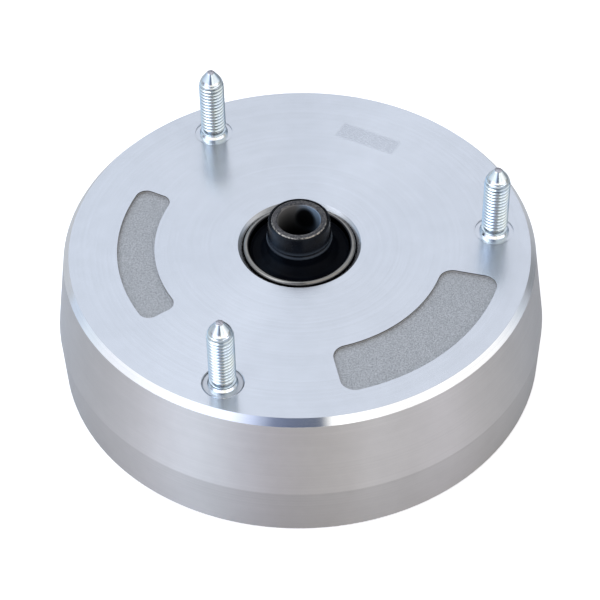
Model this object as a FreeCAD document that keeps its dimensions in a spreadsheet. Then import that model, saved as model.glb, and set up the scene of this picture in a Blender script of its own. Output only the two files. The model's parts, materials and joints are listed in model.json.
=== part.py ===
"""Strut mount: a turned aluminium drum that carries three studs and a rubber-bonded rod bush.

The origin is the centre of the drum's rim face, and +Z runs up the bush. All sizes are in millimetres.
"""
import FreeCAD, Part
import os
from FreeCAD import Placement, Rotation, Vector
import Sketcher

# Driving sizes: name, value and what it is
SIZES = [
    # drum, outside
    ("drum_height", 45.0, "rim face to top face"),
    ("top_radius", 70.45, "top face, inside its edge chamfer"),
    ("shoulder_radius", 72.2, "foot of the edge chamfer"),
    ("edge_chamfer", 2.05, "height of the edge chamfer"),
    ("girth_radius", 75.64, "widest line, where the cone meets the band"),
    ("rim_radius", 75.06, "outside of the rim"),
    ("band_height", 17.15, "rim face to widest line"),
    ("rim_chamfer", 0.6, "break on the rim's outer edge"),
    # drum, underside
    ("plate_thickness", 9.0, "top plate"),
    ("wall_thickness", 9.0, "side wall, from the widest line to the chamber's lower end"),
    ("wall_draft", 1.2, "how much the chamber narrows towards the plate"),
    ("register_depth", 9.0, "rim face to the register's step"),
    ("register_wall", 5.56, "rim's wall outside the register"),
    ("chamber_fillet", 5.0, "round between wall and plate"),
    ("hub_bottom", 8.0, "hub's lower face above the rim face"),
    ("hub_wall", 7.6, "hub's wall at its lower face"),
    ("hub_draft", 2.2, "how much the hub widens towards the plate"),
    ("hub_fillet", 4.0, "round between hub and plate"),
    # centre hole
    ("hole_chamfer", 1.1, "hole's edge break"),
    ("relief_gap", 0.88, "gap between the can and the hole's upper wall"),
    ("relief_depth", 7.0, "top face to the press seat"),
    ("hub_chamfer", 0.8, "lead-in at the hub's lower end"),
    # bush
    ("can_radius", 16.87, "outside of the steel can"),
    ("can_wall", 1.7, "sheet of the can"),
    ("lip_flat", 0.03, "half of the flat left between the lip's two rounds"),
    ("can_drop", 0.7, "can's lip below the top face"),
    ("can_bottom", 14.0, "can's lower end above the rim face"),
    ("press_gap", 0.02, "room between pieces that are pressed or bonded"),
    ("sleeve_radius", 8.6, "outside of the inner sleeve"),
    ("sleeve_bore", 6.5, "bore for the damper's rod"),
    ("sleeve_proud", 10.3, "sleeve's upper end above the top face"),
    ("sleeve_bottom", 9.0, "sleeve's lower end above the rim face"),
    ("sleeve_chamfer", 0.35, "breaks on the sleeve's ends"),
    ("bond_gap", 0.05, "room between the rubber and the sleeve"),
    ("dish_drop", 2.6, "rubber dish's floor below the top face"),
    ("dish_edge", 0.8, "how far the rubber climbs the can's wall"),
    ("dish_depth", 2.2, "lower dish's roof above the can's lower end"),
    ("skin_thickness", 0.65, "rubber skin round the sleeve's ends"),
    ("skin_step", 0.15, "bare metal at the sleeve's ends"),
    ("bead_height", 5.0, "neck's bead above the top face"),
    ("bead_width", 0.5, "bead's overhang past the skin's end"),
    ("crease_depth", 0.25, "crease under the bead"),
    ("crease_drop", 0.6, "bead to the crease"),
    ("roll_drop", 1.2, "bead to the roll under it"),
    ("roll_width", 0.2, "roll's overhang past the bead"),
    ("waist_drop", 0.8, "roll to the waist under it"),
    ("waist_depth", 0.25, "waist under the roll"),
    ("foot_width", 2.3, "neck's foot past the waist"),
    ("foot_height", 2.2, "neck's foot above the dish's floor"),
    ("foot_round", 1.8, "rounds above and below the neck's foot"),
    # snap ring under the can
    ("ring_thickness", 1.5, "snap ring's sheet"),
    ("ring_width", 2.6, "snap ring's radial width"),
    ("ring_play", 0.1, "room round the snap ring in its groove"),
    ("ring_groove_depth", 1.5, "groove's depth in the hub's bore"),
    ("ring_opening", 26.0, "angle of the snap ring's gap"),
    ("lug_set", 3.0, "angle from the gap to an ear's centre"),
    ("lug_radius", 2.2, "snap ring's ears"),
    ("lug_hole", 0.9, "radius of the plier holes"),
    # ring seals
    ("can_seal_height", 22.0, "seal on the can above the rim face"),
    ("can_seal_cord", 0.9, "radius of that seal's section"),
    ("rim_seal_height", 4.8, "seal in the register above the rim face"),
    ("rim_seal_cord", 1.2, "radius of that seal's section"),
    ("rim_seal_proud", 0.6, "how far it stands out of its groove"),
    ("groove_play", 0.25, "room beside a seal in its groove"),
    # studs
    ("stud_circle", 59.7, "radius of the circle through the studs"),
    ("stud_centre_x", 0.3, "circle's centre from the bush's axis"),
    ("stud_centre_y", -1.2, "circle's centre from the bush's axis"),
    ("rear_angle", 117.0, "stud's place on its circle"),
    ("right_angle", 5.2, "stud's place on its circle"),
    ("front_angle", 247.2, "stud's place on its circle"),
    ("stud_radius", 4.0, "thread's outside"),
    ("stud_reach", 25.0, "stud's tip above the top face"),
    ("collar_radius", 4.5, "plain shank in the plate"),
    ("collar_proud", 0.3, "shank's end above the top face"),
    ("collar_flare", 1.5, "taper from the shank to the thread"),
    ("nose_length", 3.7, "thread's end to the tip's foot"),
    ("nose_round", 6.5, "round between thread and nose"),
    ("tip_radius", 1.15, "flat end of the nose"),
    ("tip_length", 0.2, "plain edge of the nose's end"),
    ("head_radius", 5.7, "stud's head under the plate"),
    ("head_thickness", 2.5, "stud's head under the plate"),
    ("head_play", 0.4, "room round the head in its pocket"),
    ("seat_radius", 6.0, "ring cut round the stud in the top face"),
    ("seat_depth", 0.45, "ring cut round the stud in the top face"),
    # milled recesses in the top face
    ("recess_depth", 1.0, "both recesses"),
    ("left_inner", 44.3, "left recess, inner arc"),
    ("left_outer", 55.7, "left recess, outer arc"),
    ("left_from", 151.8, "left recess, first end"),
    ("left_sweep", 62.6, "left recess, angle between the ends"),
    ("left_round", 3.4, "left recess, corners"),
    ("right_inner", 44.5, "right recess, inner arc"),
    ("right_outer", 62.2, "right recess, outer arc"),
    ("right_from", 280.9, "right recess, first end"),
    ("right_sweep", 63.8, "right recess, angle between the ends"),
    ("right_round", 4.4, "right recess, corners"),
]

# Sizes that follow from the driving ones
PLACES = [
    ("shoulder_height", "drum_height - edge_chamfer"),
    ("rim_foot", "rim_radius - rim_chamfer"),
    ("plate_underside", "drum_height - plate_thickness"),
    ("register_radius", "rim_radius - register_wall"),
    ("chamber_low_radius", "girth_radius - wall_thickness"),
    ("chamber_top_radius", "chamber_low_radius - wall_draft"),
    ("bore_radius", "can_radius + press_gap"),
    ("relief_radius", "can_radius + relief_gap"),
    ("relief_foot", "drum_height - relief_depth"),
    ("relief_lead", "relief_foot - relief_gap"),
    ("hole_radius", "relief_radius + hole_chamfer"),
    ("hole_chamfer_foot", "drum_height - hole_chamfer"),
    ("hub_radius", "bore_radius + hub_wall"),
    ("hub_root_radius", "hub_radius + hub_draft"),
    ("hub_lead_radius", "bore_radius + hub_chamfer"),
    ("hub_lead_height", "hub_bottom + hub_chamfer"),
    ("can_top", "drum_height - can_drop"),
    ("can_inside", "can_radius - can_wall"),
    ("sleeve_top", "drum_height + sleeve_proud"),
    ("lip_round", "can_wall / 2 - lip_flat"),
    ("sleeve_end_inner", "sleeve_bore + sleeve_chamfer"),
    ("sleeve_end_outer", "sleeve_radius - sleeve_chamfer"),
    ("sleeve_top_break", "sleeve_top - sleeve_chamfer"),
    ("sleeve_foot_break", "sleeve_bottom + sleeve_chamfer"),
    ("ring_top", "can_bottom - ring_play"),
    ("ring_bottom", "ring_top - ring_thickness"),
    ("ring_groove_foot", "ring_bottom - ring_play"),
    ("ring_groove_radius", "bore_radius + ring_groove_depth"),
    ("ring_radius", "ring_groove_radius - ring_play"),
    ("ring_inside", "ring_radius - ring_width"),
    ("can_seal_centre", "can_radius + press_gap + can_seal_cord"),
    ("can_groove_radius", "can_seal_centre + can_seal_cord + press_gap"),
    ("can_groove_top", "can_seal_height + can_seal_cord + groove_play"),
    ("can_groove_foot", "can_seal_height - can_seal_cord - groove_play"),
    ("rim_seal_centre", "register_radius - rim_seal_proud + rim_seal_cord"),
    ("rim_groove_radius", "rim_seal_centre + rim_seal_cord + press_gap"),
    ("rim_groove_top", "rim_seal_height + rim_seal_cord + groove_play"),
    ("rim_groove_foot", "rim_seal_height - rim_seal_cord - groove_play"),
    ("rubber_outside", "can_inside - press_gap"),
    ("rubber_inside", "sleeve_radius + bond_gap"),
    ("skin_radius", "rubber_inside + skin_thickness"),
    ("skin_top", "sleeve_top - skin_step"),
    ("skin_bottom", "sleeve_bottom + skin_step"),
    ("bead_radius", "skin_radius + bead_width"),
    ("bead_line", "drum_height + bead_height"),
    ("crease_radius", "bead_radius - crease_depth"),
    ("crease_line", "bead_line - crease_drop"),
    ("roll_radius", "bead_radius + roll_width"),
    ("roll_line", "bead_line - roll_drop"),
    ("waist_radius", "roll_radius - waist_depth"),
    ("waist_line", "roll_line - waist_drop"),
    ("foot_radius", "waist_radius + foot_width"),
    ("dish_floor", "drum_height - dish_drop"),
    ("dish_rim", "dish_floor + dish_edge"),
    ("floor_radius", "rubber_outside - dish_edge"),
    ("foot_top", "dish_floor + foot_height"),
    ("lower_dish", "can_bottom + dish_depth"),
    ("head_seat", "plate_underside + head_thickness"),
    ("head_pocket_radius", "head_radius + head_play"),
    ("pocket_foot", "plate_underside - chamber_fillet"),
    ("pocket_depth", "head_seat - pocket_foot"),
    ("shank_hole", "collar_radius + press_gap"),
    ("seat_floor", "drum_height - seat_depth"),
    ("collar_top", "drum_height + collar_proud"),
    ("stud_top", "drum_height + stud_reach"),
    ("tip_foot", "stud_top - tip_length"),
    ("thread_end", "tip_foot - nose_length"),
    ("thread_foot", "collar_top + collar_flare"),
    ("rear_x", "stud_centre_x + stud_circle * cos(rear_angle * 1deg)"),
    ("rear_y", "stud_centre_y + stud_circle * sin(rear_angle * 1deg)"),
    ("right_x", "stud_centre_x + stud_circle * cos(right_angle * 1deg)"),
    ("right_y", "stud_centre_y + stud_circle * sin(right_angle * 1deg)"),
    ("front_x", "stud_centre_x + stud_circle * cos(front_angle * 1deg)"),
    ("front_y", "stud_centre_y + stud_circle * sin(front_angle * 1deg)"),
    ("recess_floor", "drum_height - recess_depth"),
    ("lug_circle", "ring_inside + lug_hole"),
    ("lug_turn", "ring_opening / 2 + lug_set"),
]

STUDS = ["rear", "right", "front"]
RECESSES = ["left", "right"]

doc = FreeCAD.newDocument("strut_mount")


def make_sheet():
    """The table of sizes: plain numbers first, then what follows from them."""
    table = doc.addObject("Spreadsheet::Sheet", "sizes")
    row = 1
    for name, value, meaning in SIZES:
        table.set(f"A{row}", meaning)
        table.set(f"B{row}", str(value))
        table.setAlias(f"B{row}", name)
        row += 1
    doc.recompute()
    for name, rule in PLACES:
        table.set(f"A{row}", "follows from the sizes above")
        table.set(f"B{row}", "=" + rule)
        table.setAlias(f"B{row}", name)
        row += 1
        doc.recompute()
    return table


sheet = make_sheet()


def size(name):
    """A size's present value, for the first place of a sketch's points."""
    return float(sheet.get(name))


def origin_plane(body, role):
    """One of the body's own origin planes or axes."""
    return next(item for item in body.Origin.OriginFeatures if item.Role == role)


def new_body(label):
    body = doc.addObject("PartDesign::Body", label)
    body.Label = label
    return body


def new_sketch(body, name, role, height=None):
    """A sketch on an origin plane, lifted to the named height."""
    sketch = body.newObject("Sketcher::SketchObject", name)
    sketch.AttachmentSupport = [(origin_plane(body, role), "")]
    sketch.MapMode = "FlatFace"
    if height:
        sketch.setExpression("AttachmentOffset.Base.z", f"sizes.{height}")
    return sketch


def bind(sketch, kind, references, name):
    """One driving dimension of a sketch, tied to the named size."""
    number = sketch.addConstraint(Sketcher.Constraint(kind, *references, size(name)))
    sketch.setExpression(f"Constraints[{number}]", f"sizes.{name}")


def draw_outline(sketch, corners):
    """A closed line through corners, each two names of sizes; None lies on the sketch's own axis."""
    points = [Vector(size(across) if across else 0, size(up) if up else 0, 0) for across, up in corners]
    count = len(corners)
    for number in range(count):
        sketch.addGeometry(Part.LineSegment(points[number], points[(number + 1) % count]), False)
    for number, (across, up) in enumerate(corners):
        before = (number - 1) % count
        sketch.addConstraint(Sketcher.Constraint("Coincident", before, 2, number, 1))
        if across:
            bind(sketch, "DistanceX", (-1, 1, number, 1), across)
        else:
            sketch.addConstraint(Sketcher.Constraint("PointOnObject", number, 1, -2))
        if up:
            bind(sketch, "DistanceY", (-1, 1, number, 1), up)
        else:
            sketch.addConstraint(Sketcher.Constraint("PointOnObject", number, 1, -1))


def draw_circle(sketch, radius, across=None, up=None):
    """A circle with its radius and centre tied to named sizes."""
    centre = Vector(size(across) if across else 0, size(up) if up else 0, 0)
    number = sketch.addGeometry(Part.Circle(centre, Vector(0, 0, 1), size(radius)), False)
    bind(sketch, "Radius", (number,), radius)
    if across:
        bind(sketch, "DistanceX", (-1, 1, number, 3), across)
        bind(sketch, "DistanceY", (-1, 1, number, 3), up)
    else:
        sketch.addConstraint(Sketcher.Constraint("Coincident", number, 3, -1, 1))


def revolve(body, sketch, name):
    """The sketch turned once round the upright axis."""
    turned = body.newObject("PartDesign::Revolution", name)
    turned.Profile = sketch
    turned.ReferenceAxis = (sketch, ["V_Axis"])
    turned.Angle = 360
    doc.recompute()
    return turned


def turned_body(label, corners):
    """A body turned from one closed outline."""
    body = new_body(label)
    sketch = new_sketch(body, label + "_outline", "XZ_Plane")
    draw_outline(sketch, corners)
    revolve(body, sketch, label + "_turned")
    return body


def circle_edges(shape, radius, height):
    """Names of the full circles with this radius, at this height."""
    found = []
    for number, edge in enumerate(shape.Edges, 1):
        curve = edge.Curve
        if isinstance(curve, Part.Circle) and abs(curve.Radius - radius) < 1e-4:
            if abs(curve.Center.z - height) < 1e-4:
                found.append(f"Edge{number}")
    return found


def upright_edges(shape, radius, low, high):
    """Names of the upright straight edges at this distance from the axis."""
    found = []
    for number, edge in enumerate(shape.Edges, 1):
        ends = [vertex.Point for vertex in edge.Vertexes]
        if len(ends) != 2 or (ends[0] - ends[1]).cross(Vector(0, 0, 1)).Length > 1e-6:
            continue
        heights = sorted(end.z for end in ends)
        distance = Vector(ends[0].x, ends[0].y, 0).Length
        if abs(distance - radius) < 1e-4 and abs(heights[0] - low) < 1e-4:
            if abs(heights[1] - high) < 1e-4:
                found.append(f"Edge{number}")
    return found


def round_edges(body, name, edges, radius):
    """A fillet on the named edges of the body's last feature."""
    base = body.Tip
    fillet = body.newObject("PartDesign::Fillet", name)
    fillet.Base = (base, edges)
    fillet.setExpression("Radius", f"sizes.{radius}")
    body.Tip = fillet
    doc.recompute()
    return fillet


def cut_down(body, name, circles, start, depth, upward=False):
    """Round pockets from the named height; each is a radius with the names of its centre."""
    before = body.Tip.Shape.Volume
    sketch = new_sketch(body, name + "_outline", "XY_Plane", start)
    for radius, across, up in circles:
        draw_circle(sketch, radius, across, up)
    pocket = body.newObject("PartDesign::Pocket", name)
    pocket.Profile = sketch
    pocket.setExpression("Length", depth)
    pocket.Reversed = upward
    doc.recompute()
    if pocket.Shape.Volume >= before - 1e-6:
        raise RuntimeError(name + " cuts nothing")
    return pocket


def mill_recess(body, side):
    """A shallow kidney-shaped recess: a rectangle swept round the axis, with round corners."""
    before = body.Tip.Shape.Volume
    sketch = new_sketch(body, side + "_recess_outline", "XZ_Plane")
    low, high = "recess_floor", "drum_height"
    inner, outer = side + "_inner", side + "_outer"
    draw_outline(sketch, [(inner, low), (outer, low), (outer, high), (inner, high)])
    sketch.AttachmentOffset = Placement(Vector(), Rotation(Vector(0, 1, 0), size(side + "_from")))
    sketch.setExpression("AttachmentOffset.Rotation.Angle", f"sizes.{side}_from")
    groove = body.newObject("PartDesign::Groove", side + "_recess")
    groove.Profile = sketch
    groove.ReferenceAxis = (sketch, ["V_Axis"])
    groove.setExpression("Angle", f"sizes.{side}_sweep")
    doc.recompute()
    if groove.Shape.Volume >= before - 1e-6:
        raise RuntimeError(side + " recess cuts nothing")
    edges = []
    for radius in (inner, outer):
        edges += upright_edges(groove.Shape, size(radius), size(low), size(high))
    round_edges(body, side + "_recess_corners", edges, side + "_round")


def make_housing():
    """The drum: wall, top plate, register and hub in one turned outline, then its holes and recesses."""
    body = turned_body("housing", [
        ("rim_foot", None),
        ("rim_radius", "rim_chamfer"),
        ("girth_radius", "band_height"),
        ("shoulder_radius", "shoulder_height"),
        ("top_radius", "drum_height"),
        ("hole_radius", "drum_height"),
        ("relief_radius", "hole_chamfer_foot"),
        ("relief_radius", "relief_foot"),
        ("bore_radius", "relief_lead"),
        ("bore_radius", "can_groove_top"),
        ("can_groove_radius", "can_groove_top"),
        ("can_groove_radius", "can_groove_foot"),
        ("bore_radius", "can_groove_foot"),
        ("bore_radius", "can_bottom"),
        ("ring_groove_radius", "can_bottom"),
        ("ring_groove_radius", "ring_groove_foot"),
        ("bore_radius", "ring_groove_foot"),
        ("bore_radius", "hub_lead_height"),
        ("hub_lead_radius", "hub_bottom"),
        ("hub_radius", "hub_bottom"),
        ("hub_root_radius", "plate_underside"),
        ("chamber_top_radius", "plate_underside"),
        ("chamber_low_radius", "register_depth"),
        ("register_radius", "register_depth"),
        ("register_radius", "rim_groove_top"),
        ("rim_groove_radius", "rim_groove_top"),
        ("rim_groove_radius", "rim_groove_foot"),
        ("register_radius", "rim_groove_foot"),
        ("register_radius", None),
    ])
    shape = body.Tip.Shape
    root = circle_edges(shape, size("hub_root_radius"), size("plate_underside"))
    round_edges(body, "hub_round", root, "hub_fillet")
    shape = body.Tip.Shape
    corner = circle_edges(shape, size("chamber_top_radius"), size("plate_underside"))
    round_edges(body, "chamber_round", corner, "chamber_fillet")
    places = [(stud + "_x", stud + "_y") for stud in STUDS]
    seats = [("seat_radius", *place) for place in places]
    cut_down(body, "stud_seats", seats, "drum_height", "sizes.seat_depth")
    heads = [("head_pocket_radius", *place) for place in places]
    cut_down(body, "head_pockets", heads, "pocket_foot", "sizes.pocket_depth", True)
    holes = [("shank_hole", *place) for place in places]
    cut_down(body, "shank_holes", holes, "drum_height", "sizes.plate_thickness")
    for side in RECESSES:
        mill_recess(body, side)
    return body


def make_stud(side):
    """A pressed-in stud: head, plain shank, thread's outside and a rounded pilot nose with a flat end."""
    body = turned_body("stud_" + side, [
        (None, "plate_underside"),
        ("head_radius", "plate_underside"),
        ("head_radius", "head_seat"),
        ("collar_radius", "head_seat"),
        ("collar_radius", "collar_top"),
        ("stud_radius", "thread_foot"),
        ("stud_radius", "thread_end"),
        ("tip_radius", "tip_foot"),
        ("tip_radius", "stud_top"),
        (None, "stud_top"),
    ])
    edge = circle_edges(body.Tip.Shape, size("stud_radius"), size("thread_end"))
    round_edges(body, f"nose_round_{side}", edge, "nose_round")
    body.setExpression("Placement.Base.x", f"sizes.{side}_x")
    body.setExpression("Placement.Base.y", f"sizes.{side}_y")
    return body


def make_can():
    """The bush's outer can, with a full round on its upper lip."""
    body = turned_body("bush_can", [
        ("can_inside", "can_bottom"),
        ("can_radius", "can_bottom"),
        ("can_radius", "can_top"),
        ("can_inside", "can_top"),
    ])
    shape = body.Tip.Shape
    lip = circle_edges(shape, size("can_radius"), size("can_top"))
    lip += circle_edges(shape, size("can_inside"), size("can_top"))
    round_edges(body, "can_lip", lip, "lip_round")
    return body


def make_rubber():
    """The rubber between can and sleeve: dished above and below, with a creased neck."""
    body = turned_body("bush_rubber", [
        ("rubber_inside", "skin_bottom"),
        ("skin_radius", "skin_bottom"),
        ("foot_radius", "lower_dish"),
        ("rubber_outside", "lower_dish"),
        ("rubber_outside", "dish_rim"),
        ("floor_radius", "dish_floor"),
        ("foot_radius", "dish_floor"),
        ("waist_radius", "foot_top"),
        ("waist_radius", "waist_line"),
        ("roll_radius", "roll_line"),
        ("crease_radius", "crease_line"),
        ("bead_radius", "bead_line"),
        ("skin_radius", "skin_top"),
        ("rubber_inside", "skin_top"),
    ])
    edges = []
    for across, up in (("foot_radius", "dish_floor"), ("waist_radius", "foot_top"),
                       ("foot_radius", "lower_dish")):
        edges += circle_edges(body.Tip.Shape, size(across), size(up))
    round_edges(body, "foot_rounds", edges, "foot_round")
    return body


def make_sleeve():
    """The inner sleeve, with broken edges at both ends."""
    return turned_body("bush_sleeve", [
        ("sleeve_bore", "sleeve_foot_break"),
        ("sleeve_end_inner", "sleeve_bottom"),
        ("sleeve_end_outer", "sleeve_bottom"),
        ("sleeve_radius", "sleeve_foot_break"),
        ("sleeve_radius", "sleeve_top_break"),
        ("sleeve_end_outer", "sleeve_top"),
        ("sleeve_end_inner", "sleeve_top"),
        ("sleeve_bore", "sleeve_top_break"),
    ])


def make_seal(label, centre, height, cord):
    """A ring seal: a circle turned round the axis."""
    body = new_body(label)
    sketch = new_sketch(body, label + "_outline", "XZ_Plane")
    draw_circle(sketch, cord, centre, height)
    revolve(body, sketch, label + "_turned")
    return body


def disc(name, radius, across=None, up=None):
    """A round plate as thick as the snap ring, at the snap ring's height."""
    plate = doc.addObject("Part::Cylinder", name)
    plate.setExpression("Radius", radius)
    plate.setExpression("Height", "sizes.ring_thickness")
    plate.setExpression("Placement.Base.z", "sizes.ring_bottom")
    if across:
        plate.setExpression("Placement.Base.x", across)
        plate.setExpression("Placement.Base.y", up)
    return plate


def combine(kind, name, base, tool):
    """One solid made of two: Part::Cut or Part::Fuse."""
    made = doc.addObject(kind, name)
    made.Base = base
    made.Tool = tool
    return made


def make_snap_ring():
    """An open ring of sheet with an ear at each end and a plier hole in each ear."""
    across = "sizes.lug_circle * cos(sizes.lug_turn * 1deg)"
    up = "sizes.lug_circle * sin(sizes.lug_turn * 1deg)"
    ring = combine("Part::Cut", "ring_sheet", disc("ring_blank", "sizes.ring_radius"),
                   disc("ring_middle", "sizes.ring_inside"))
    gap = disc("ring_gap", "2 * sizes.ring_radius")
    gap.setExpression("Angle", "sizes.ring_opening")
    gap.Placement = Placement(Vector(), Rotation(Vector(0, 0, 1), -size("ring_opening") / 2))
    gap.setExpression("Placement.Rotation.Angle", "-sizes.ring_opening / 2")
    ring = combine("Part::Cut", "ring_open", ring, gap)
    for hand, sign in (("near", "-"), ("far", "")):
        ear = disc("ear_" + hand, "sizes.lug_radius", across, sign + up)
        ring = combine("Part::Fuse", "ring_with_ear_" + hand, ring, ear)
    for hand, sign in (("near", "-"), ("far", "")):
        hole = disc("hole_" + hand, "sizes.lug_hole", across, sign + up)
        ring = combine("Part::Cut", "ring_with_hole_" + hand, ring, hole)
    ring = combine("Part::Common", "ring_trimmed", ring, disc("ring_outside", "sizes.ring_radius"))
    ring.Label = "retaining_ring"
    return ring


def check(parts):
    """Stops where a feature failed or a sub-part's shape isn't a valid solid."""
    doc.recompute()
    for item in doc.Objects:
        if "Invalid" in item.State or "Error" in item.State:
            raise RuntimeError(item.Name + " failed to build")
    for part in parts:
        if part.Shape.isNull() or not part.Shape.isValid() or not part.Shape.Solids:
            raise RuntimeError(part.Label + " has no valid shape")


def main():
    parts = [make_housing()]
    parts += [make_stud(side) for side in STUDS]
    parts += [make_can(), make_rubber(), make_sleeve(), make_snap_ring()]
    parts.append(make_seal("can_seal", "can_seal_centre", "can_seal_height", "can_seal_cord"))
    parts.append(make_seal("rim_seal", "rim_seal_centre", "rim_seal_height", "rim_seal_cord"))
    check(parts)
    os.makedirs("parts", exist_ok=True)
    for part in parts:
        part.Shape.exportStep(f"parts/{part.Label}.step")
        print(part.Label, round(part.Shape.Volume, 1), "mm3")


main()
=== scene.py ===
"""The looks of a strut mount: turned aluminium drum, threaded zinc studs and a rubber-bonded bush."""
import json
import math

import bmesh
import bpy
from mathutils import Matrix, Vector


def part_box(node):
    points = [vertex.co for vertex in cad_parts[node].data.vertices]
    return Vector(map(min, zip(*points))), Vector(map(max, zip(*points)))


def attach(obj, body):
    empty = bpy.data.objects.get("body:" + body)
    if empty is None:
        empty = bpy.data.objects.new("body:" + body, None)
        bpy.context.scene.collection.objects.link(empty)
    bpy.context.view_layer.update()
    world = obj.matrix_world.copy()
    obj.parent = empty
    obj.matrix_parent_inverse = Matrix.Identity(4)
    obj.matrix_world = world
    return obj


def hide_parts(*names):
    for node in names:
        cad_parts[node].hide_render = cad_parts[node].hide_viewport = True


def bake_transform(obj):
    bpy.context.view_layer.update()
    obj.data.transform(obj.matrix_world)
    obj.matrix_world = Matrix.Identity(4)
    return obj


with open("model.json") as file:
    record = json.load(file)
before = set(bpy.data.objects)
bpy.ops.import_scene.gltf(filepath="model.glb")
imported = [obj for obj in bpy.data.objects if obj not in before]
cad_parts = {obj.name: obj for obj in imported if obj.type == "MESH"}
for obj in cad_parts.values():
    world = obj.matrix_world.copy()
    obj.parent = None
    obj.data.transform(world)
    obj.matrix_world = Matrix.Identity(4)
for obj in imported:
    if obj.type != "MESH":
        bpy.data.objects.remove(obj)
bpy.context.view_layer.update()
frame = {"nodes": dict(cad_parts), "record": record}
MM = 0.001
nodes = frame["nodes"]


# Heights and radii read from the frame, in metres
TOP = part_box("housing")[1][2]
SLEEVE_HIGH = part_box("bush_sleeve")[1]
RUBBER_LOW, RUBBER_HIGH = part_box("bush_rubber")
SLEEVE_RADIUS = SLEEVE_HIGH[0]
RUBBER_RADIUS = RUBBER_HIGH[0]
CAN_INSIDE = 15.17 * MM
LIP_FLARE, LIP_ROUND, FLARE_ROUND = 0.28 * MM, 0.82 * MM, 2 * MM
SLEEVE_BORE = 6.5 * MM
BOND_GAP = 0.05 * MM
NECK_RADIUS = SLEEVE_RADIUS + 1.6 * MM
NECK_FOOT = TOP + 2.7 * MM
BEAD_RADIUS = SLEEVE_RADIUS + 1.2 * MM
FOOT_ROUND = 1.8 * MM
STUDS = ("rear", "right", "front")
SEGMENTS = 128
# What a lathed outline keeps clear of the axis
AXIS_HOLE = 0.01 * MM


# Meshes

def finish_mesh(name, mesh, body, slot, shader, node=None, smooth=math.radians(35)):
    """Links a bmesh as a piece that rides on a body, with its material and the node it stands for."""
    data = bpy.data.meshes.new(name)
    bmesh.ops.remove_doubles(mesh, verts=mesh.verts, dist=0.002 * MM)
    bmesh.ops.dissolve_degenerate(mesh, edges=mesh.edges, dist=0.001 * MM)
    bmesh.ops.recalc_face_normals(mesh, faces=mesh.faces)
    mesh.to_mesh(data)
    mesh.free()
    data.shade_smooth()
    data.set_sharp_from_angle(angle=smooth)
    piece = bpy.data.objects.new(name, data)
    bpy.context.scene.collection.objects.link(piece)
    data.materials.append(shader)
    if body:
        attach(piece, body)
    if node:
        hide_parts(node)
    return piece


def rounded(profile, steps=6):
    """A closed outline of (radius, height, round) corners with each round worked out as an arc."""
    points = []
    count = len(profile)
    for number in range(count):
        here = Vector(profile[number][:2])
        bend = profile[number][2]
        to_last = Vector(profile[number - 1][:2]) - here
        to_next = Vector(profile[(number + 1) % count][:2]) - here
        if not bend:
            points.append(here)
            continue
        half = to_last.angle(to_next) / 2
        reach = min(bend / math.tan(half), to_last.length * 0.49, to_next.length * 0.49)
        start, end = here + to_last.normalized() * reach, here + to_next.normalized() * reach
        for step in range(steps + 1):
            share = step / steps
            points.append((1 - share) ** 2 * start + 2 * share * (1 - share) * here + share ** 2 * end)
    return points


def lathe(points, segments=SEGMENTS):
    """A mesh turned round the upright axis from a closed outline of (radius, height) points."""
    mesh = bmesh.new()
    rings = []
    for segment in range(segments):
        angle = 2 * math.pi * segment / segments
        across, along = math.cos(angle), math.sin(angle)
        rings.append([mesh.verts.new((p[0] * across, p[0] * along, p[1])) for p in points])
    count = len(points)
    for segment, ring in enumerate(rings):
        beside = rings[(segment + 1) % segments]
        for number in range(count):
            after = (number + 1) % count
            mesh.faces.new((ring[number], beside[number], beside[after], ring[after]))
    return mesh


# Node helpers

MARKS_DRIFT = 0.35


def new_material(name):
    """A material with an empty tree of nodes."""
    material = bpy.data.materials.new(name)
    material.use_nodes = True
    material.node_tree.nodes.clear()
    return material, material.node_tree


def add(tree, kind, **settings):
    """A node; settings with a leading capital are inputs, the others are properties."""
    made = tree.nodes.new(kind)
    for key, value in settings.items():
        if key[0].isupper():
            target = made.inputs[key.replace("_", " ")]
            if isinstance(value, bpy.types.NodeSocket):
                tree.links.new(value, target)
            else:
                target.default_value = value
        else:
            setattr(made, key, value)
    return made


def maths(tree, operation, *values):
    """A Math node's result, from sockets or numbers."""
    made = tree.nodes.new("ShaderNodeMath")
    made.operation = operation
    for number, value in enumerate(values):
        if isinstance(value, bpy.types.NodeSocket):
            tree.links.new(value, made.inputs[number])
        else:
            made.inputs[number].default_value = value
    return made.outputs[0]


def times(tree, first, second):
    return maths(tree, "MULTIPLY", first, second)


def plus(tree, first, second):
    return maths(tree, "ADD", first, second)


def minus(tree, first, second):
    return maths(tree, "SUBTRACT", first, second)


def blend_colours(tree, factor, first, second, mode="MIX"):
    """A colour mix's result, from sockets or colours."""
    made = tree.nodes.new("ShaderNodeMix")
    made.data_type = "RGBA"
    made.blend_type = mode
    for socket, value in ((made.inputs[0], factor), (made.inputs[6], first), (made.inputs[7], second)):
        if isinstance(value, bpy.types.NodeSocket):
            tree.links.new(value, socket)
        elif isinstance(value, tuple):
            socket.default_value = (*value, 1)
        else:
            socket.default_value = value
    return made.outputs[2]


def span(tree, value, low, high, to_low=0.0, to_high=1.0):
    """A value moved from one range to another, and clamped."""
    made = add(tree, "ShaderNodeMapRange", clamp=True)
    tree.links.new(value, made.inputs[0])
    for number, limit in enumerate((low, high, to_low, to_high), 1):
        made.inputs[number].default_value = limit
    return made.outputs[0]


def fade(tree, mask, outside, inside):
    """A number that goes from one value where a mask is 0 to another where it is 1."""
    return span(tree, mask, 0.0, 1.0, outside, inside)


def past(tree, value, limit, soft):
    """1 where the value is past a limit, with a soft edge."""
    return span(tree, value, limit - soft, limit + soft)


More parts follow.
